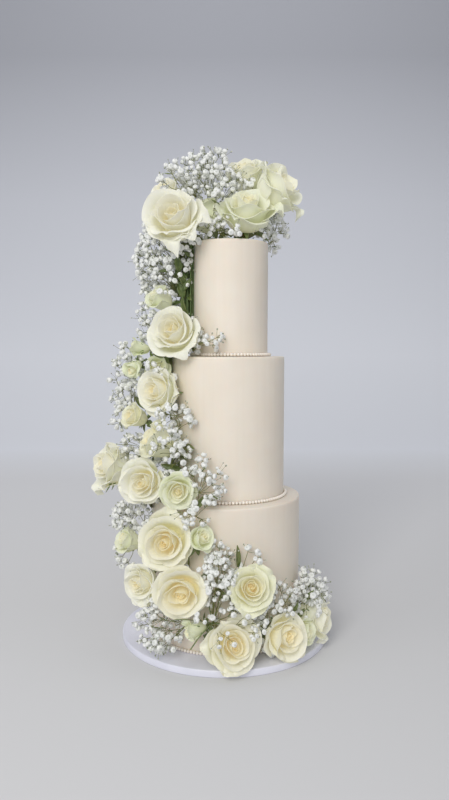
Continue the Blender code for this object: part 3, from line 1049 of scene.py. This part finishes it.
def tubes(name, routes, material, roundness=0):
    """Round stems along routes, each with one radius or one a point. Roundness 0 gives four sides."""
    data = bpy.data.curves.new(name, "CURVE")
    data.dimensions = "3D"
    data.bevel_depth = 1.0
    data.bevel_resolution = roundness
    data.use_fill_caps = True
    for route, radii in routes:
        line = data.splines.new("POLY")
        line.points.add(len(route) - 1)
        if isinstance(radii, float):
            radii = [radii] * len(route)
        for knot, place, radius in zip(line.points, route, radii):
            knot.co = (*place, 1)
            knot.radius = radius
    make_active(add_to_scene(name, data))
    bpy.ops.object.convert(target="MESH")
    stems = bpy.context.object
    stems.data.materials.clear()
    finish_piece(stems, material, "foliage")


def make_babys_breath():
    kinds = {"florets": [], "buds": [], "leaflets": [], "stems": []}
    clouds = sorted(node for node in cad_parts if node.startswith("gypsophila"))
    for seed, node in enumerate(clouds):
        grow_cloud(node, seed + 3, kinds)
    rng = np.random.default_rng(1)
    for centre, direction, radius in ROSE_ROOMS:
        if radius > SMALL_ROSE / 2:
            grow_round_rose(centre, direction, radius, kinds, rng)
    for root, *heads in SPRIGS:
        for fork, count in heads:
            grow_sprig(root, fork, count, kinds, rng)

    florets = floret_template()
    local, number = copies_in_places(florets, kinds["florets"])
    # The first painted value marks the dimple at the top of each floret, where the material paints shade.
    centre = np.clip(1 - np.hypot(local[:, 0], local[:, 1]) * 3.2, 0, 1) * (local[:, 2] > 0)
    paint(florets, "tone", centre, rng.uniform(0, 1, len(kinds["florets"]))[number], 0, 1)
    finish_piece(florets, floret_white, "gypsophila", *clouds)

    buds = bud_template()
    local, number = copies_in_places(buds, kinds["buds"])
    paint(buds, "tone", local[:, 2] + 0.5, rng.uniform(0, 1, len(kinds["buds"]))[number], 0, 1)
    finish_piece(buds, bud_green, "gypsophila")

    leaflets = blade_template("gypsophila_leaflets", 2, 4, leaflet_outline, 0.5, -0.16, 0.03)
    copies_in_places(leaflets, kinds["leaflets"])
    finish_piece(leaflets, leaf_green, "foliage", smooth=False)
    tubes("gypsophila_stems", kinds["stems"], stem_green)


# ------------------------ leaves, sepals and stems


def blade_template(name, across, along, outline, fold, droop, thickness):
    """A leaf one unit long along +Z, folded along its midrib, its upper face towards +Y."""
    grid = bpy.ops.mesh.primitive_grid_add
    blade = begin(grid, name, x_subdivisions=across, y_subdivisions=along, size=1)
    points = read_points(blade)
    rise = points[:, 1] + 0.5
    side = points[:, 0] * 2
    half = 0.5 * outline(rise)
    height = fold * np.abs(side) * half - droop * rise**2
    write_points(blade, np.stack([side * half, height, rise], axis=-1))
    thicken(blade, thickness)
    return blade


def leaflet_outline(rise):
    return 0.22 * np.sin(pi * np.clip(rise * 0.94 + 0.03, 0, 1)) ** 0.7


def leaf_outline(rise):
    teeth = 1 + 0.06 * np.sin(rise * 2 * pi * 7)
    return np.maximum(np.sin(pi * np.clip(rise, 0, 1) ** 0.85), 0.04) ** 0.8 * teeth


def blade_outline(rise):
    return np.maximum(np.sin(pi * (0.08 + 0.9 * rise)), 0.03) ** 0.7


def sepal_outline(rise):
    return np.maximum(1 - rise, 0.05) ** 0.8 * (0.8 + 0.5 * rise)


def leaf_matrix(root, aim, face, length, width):
    """Puts a leaf at its root, pointing to aim with its upper face towards face."""
    up = aim.normalized()
    side = face.cross(up).normalized()
    front = up.cross(side)
    turn = Matrix((side, front, up)).transposed().to_4x4()
    return Matrix.Translation(root) @ turn @ Matrix.Diagonal((width, length, length, 1))


def kept_out(point, margin):
    """Moves a place that lies in the cake or the board out of it."""
    point = point.copy()
    point.z = max(point.z, BOARD_TOP + margin)
    for shift, radius, low, high in TIER_ROOMS:
        away = Vector((point.x - shift, point.y, 0))
        if low < point.z < high + margin and away.length < radius + margin:
            if point.z > high - 3 * margin:
                point.z = high + margin
            else:
                away *= (radius + margin) / away.length
                point.x = away.x + shift
                point.y = away.y
    return point


def leaf_fits(root, aim, length, margin=0):
    """Whether a leaf stays clear of the icing and of the roses."""
    for share in (0.25, 0.5, 0.75, 1.0):
        place = root + aim * (share * length)
        if in_the_cake(place, ROOM_FOR_LEAF) or in_a_rose(place, margin):
            return False
    return True


def spokes(count, direction, looseness, rng):
    """Directions spread loosely round a flower's axis, each worked out as it is used."""
    around = direction.orthogonal().normalized()
    for index in range(count):
        yield Matrix.Rotation(2 * pi * (index + rng.uniform(0, looseness)) / count, 3, direction) @ around


def green_behind_rose(form, centre, direction, radius, green, rng):
    """The sepals, hip, stem and hidden leaves at the back of one rose."""
    base = centre + direction * (FORMS[form]["foot"] * radius)
    opening, reach = {"bud": (2.0, 1.25), "half": (0.45, 0.75)}.get(form, (0.16, 0.70))
    for outward in spokes(SEPALS, direction, 0.3, rng):
        aim = (outward + direction * opening).normalized()
        root = base - direction * (0.03 * radius) + outward * (0.05 * radius)
        green["sepals"].append(leaf_matrix(root, aim, direction, reach * radius, 0.32 * radius))
    hip = ROSE_HIP * radius
    neck = base - direction * (3.2 * hip)
    first = kept_out(neck - direction * 9 * MM, 4 * MM)
    last = kept_out(first + Vector((0.3 * -first.x, 0.3 * -first.y, -32 * MM)), 4 * MM)
    route = [base + direction * hip, base - direction * (0.8 * hip), base - direction * (1.9 * hip)]
    route += [neck, first]
    thin = max(0.45 * hip, 1.2 * MM)
    radii = [0.7 * hip, hip, 0.85 * hip, thin, thin]
    if not any(in_the_cake(first.lerp(last, share), thin) for share in (0.25, 0.5, 0.75, 1.0)):
        route.append(last)
        radii.append(thin)
    green["stems"].append((route, radii))
    for outward in spokes(LEAVES_BEHIND_ROSE, direction, 0.8, rng):
        root = base + outward * (0.15 * radius) - direction * (0.12 * radius)
        aim = (outward + direction * rng.uniform(-0.4, 0.1)).normalized()
        length = rng.uniform(0.75, 1.05) * radius
        if leaf_fits(root, aim, length):
            green["leaves"].append(leaf_matrix(root, aim, direction, length, 0.55 * length))


def fill_gap(low, high, count, green, rng):
    """Leaves that fill a gap between the flowers and the cake."""
    for spot in rng.uniform(np.array(low) * MM, np.array(high) * MM, (count, 3)):
        root = kept_out(Vector(spot), 2 * MM)
        out = Vector((root.x - TIER_ROOMS[1][0], root.y, 0)).normalized()
        aim = (Vector((0, 0, 0.7)) + out * 0.4 + random_direction(rng) * 0.8).normalized()
        aim.z = abs(aim.z) + 0.15
        aim.normalize()
        length = rng.uniform(*GAP_LEAF_LENGTHS)
        if not leaf_fits(root, aim, length, 3 * MM):
            continue
        face = (Vector((0, -1, 0.3)) + random_direction(rng) * 0.7).normalized()
        green["leaves"].append(leaf_matrix(root, aim, face, length, rng.uniform(0.25, 0.40) * length))


def side_stems(tier, count, low, high, turns, green, rng):
    """A bundle of stems that climbs beside one tier, thickest next to the icing."""
    shift, radius, *_ = tier
    for index in range(count):
        turn = radians(rng.uniform(*turns))
        reach = radius + (0.4 + 17 * (index / count) ** 1.6) * MM
        foot = Vector((shift + reach * cos(turn), reach * sin(turn), low + rng.uniform(0, 10) * MM))
        turn += radians(rng.uniform(-6, 6))
        reach += rng.uniform(0, 1.5) * MM
        head = Vector((shift + reach * cos(turn), reach * sin(turn), high + rng.uniform(-15, 10) * MM))
        out = Vector((cos(turn), sin(turn), 0))
        thickness = rng.uniform(0.8, 1.5) * MM
        green["stems"].append((bent_route(foot, head, out * rng.uniform(0, 1) * MM, 6), thickness))


def make_long_leaves():
    """The upright leaf and the hanging leaf beside the lowest roses."""
    for node, (length, width, azimuth, elevation) in LONG_LEAVES.items():
        lowest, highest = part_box(node)
        aim = facing(azimuth, elevation)
        root = (lowest + highest) / 2 - aim * (length / 2)
        leaf = blade_template("blade_" + node, 6, 10, blade_outline, 0.35, 0.04, 0.02)
        leaf.data.transform(leaf_matrix(root, aim, Vector((0.3, -1, 0.2)).normalized(), length, width))
        finish_piece(leaf, leaf_green, "foliage", node)


def make_greenery():
    green = {"sepals": [], "leaves": [], "stems": []}
    rng = np.random.default_rng(8)
    for room, (*_, form, _, _) in zip(ROSE_ROOMS, ROSES.values()):
        green_behind_rose(form, *room, green, rng)
    for low, high, count in LEAFY_GAPS:
        fill_gap(low, high, count, green, rng)
    # Bundles of stems climb the whole top tier and the upper part of the middle one, on the left.
    _, middle, top = TIER_ROOMS
    side_stems(top, 30, top[2] + 4 * MM, top[3] + 5 * MM, (166, 200), green, rng)
    side_stems(middle, 14, middle[3] - 55 * MM, middle[3] + 12 * MM, (172, 204), green, rng)
    for root, *tips in TWIGS:
        for tip, thickness in tips:
            route = bent_route(Vector(root) * MM, Vector(tip) * MM, random_direction(rng) * 3 * MM, 5)
            green["stems"].append((route, thickness * MM))
    for root, tip in LOOSE_SEPALS:
        aim = (Vector(tip) - Vector(root)) * MM
        hang = leaf_matrix(Vector(root) * MM, aim, Vector((0, -1, 0.3)), aim.length, LOOSE_SEPAL_WIDTH)
        green["sepals"].append(hang)

    sepals = blade_template("rose_sepals", 3, 6, sepal_outline, 0.25, 0.18, 0.02)
    copies_in_places(sepals, green["sepals"])
    finish_piece(sepals, calyx_green, "foliage")

    leaves = blade_template("rose_leaves", 5, 9, leaf_outline, 0.30, 0.16, 0.015)
    copies_in_places(leaves, green["leaves"])
    finish_piece(leaves, leaf_green, "foliage")
    tubes("rose_stems", green["stems"], rose_stem_green, 2)


# ------------------------ studio


def studio_material():
    """Pale grey, with painted light that lightens it towards the wall and painted shade that darkens it on
    the way up the wall.
    """
    made, tree, shader = new_material("studio_floor", {"Roughness": 0.6})
    position = add_node(tree, "ShaderNodeSeparateXYZ")
    tree.links.new(coordinates(tree), position.inputs["Vector"])
    distance = product(tree, total(tree, position.outputs["Y"], 0.5), 1 / 2.4, True)
    # Painted light: the floor gets lighter the nearer it lies to the wall.
    near = (0.59, 0.59, 0.60)
    far = (0.69, 0.69, 0.71)
    sweep = (0.765, 0.775, 0.81)
    wall = (0.82, 0.835, 0.885)
    ground_and_painted_light = ramp(tree, distance, (0.25, near), (0.71, far), (0.88, sweep), (1.0, wall))
    # Painted shade: the wall gets darker on the way up.
    rise = product(tree, position.outputs["Z"], 0.5, True)
    shade = ramp(tree, rise, (0.2, (1, 1, 1)), (0.52, (0.80, 0.80, 0.81)), (0.82, (0.51, 0.51, 0.525)))
    colour = mix_colours(tree, 1.0, ground_and_painted_light, shade, "MULTIPLY")
    tree.links.new(colour, shader.inputs["Base Color"])
    return made


def make_studio():
    """A floor that turns up into a wall behind the cake, shaded smoothly across the corner."""
    place = (0, WALL_DISTANCE - FLOOR_SIZE / 2, -FLOOR_DROP)
    floor = begin(bpy.ops.mesh.primitive_plane_add, "studio_floor", size=FLOOR_SIZE, location=place)
    bpy.ops.object.transform_apply(location=True, rotation=False, scale=False)
    bpy.ops.object.mode_set(mode="EDIT")
    shape = bmesh.from_edit_mesh(floor.data)
    select_only(floor, [line for line in shape.edges if all(vert.co.y > 0 for vert in line.verts)])
    bpy.ops.mesh.extrude_region_move(TRANSFORM_OT_translate={"value": (0, 0, WALL_HEIGHT)})
    bpy.ops.object.mode_set(mode="OBJECT")
    floor.data.shade_smooth()
    floor.data.materials.append(studio_material())


def make_lights():
    world = bpy.data.worlds.new("soft_studio")
    bpy.context.scene.world = world
    world.use_nodes = True
    bpy.context.scene.cycles.diffuse_bounces = DIFFUSE_BOUNCES
    background = world.node_tree.nodes["Background"]
    background.inputs["Color"].default_value = WORLD_COLOUR
    background.inputs["Strength"].default_value = WORLD_STRENGTH
    for name, (place, target, size, power, colour) in LIGHTS.items():
        data = bpy.data.lights.new(name, "AREA")
        data.shape = "SQUARE"
        data.size = size
        data.energy = power
        data.color = colour
        light = add_to_scene(name, data, place)
        aim = Vector(target) - Vector(place)
        light.rotation_euler = aim.to_track_quat("-Z", "Y").to_euler()


def make_camera():
    data = bpy.data.cameras.new("camera")
    data.lens = CAMERA_LENS
    data.sensor_width = 36
    camera = add_to_scene("camera", data, CAMERA_PLACE)
    camera.rotation_euler = (radians(90 - CAMERA_TILT), 0, 0)
    bpy.context.scene.camera = camera
    bpy.context.scene.view_settings.view_transform = "Standard"


make_camera()
make_lights()
make_studio()
make_board()
make_tiers()
make_pearls()
make_roses()
make_babys_breath()
make_greenery()
make_long_leaves()
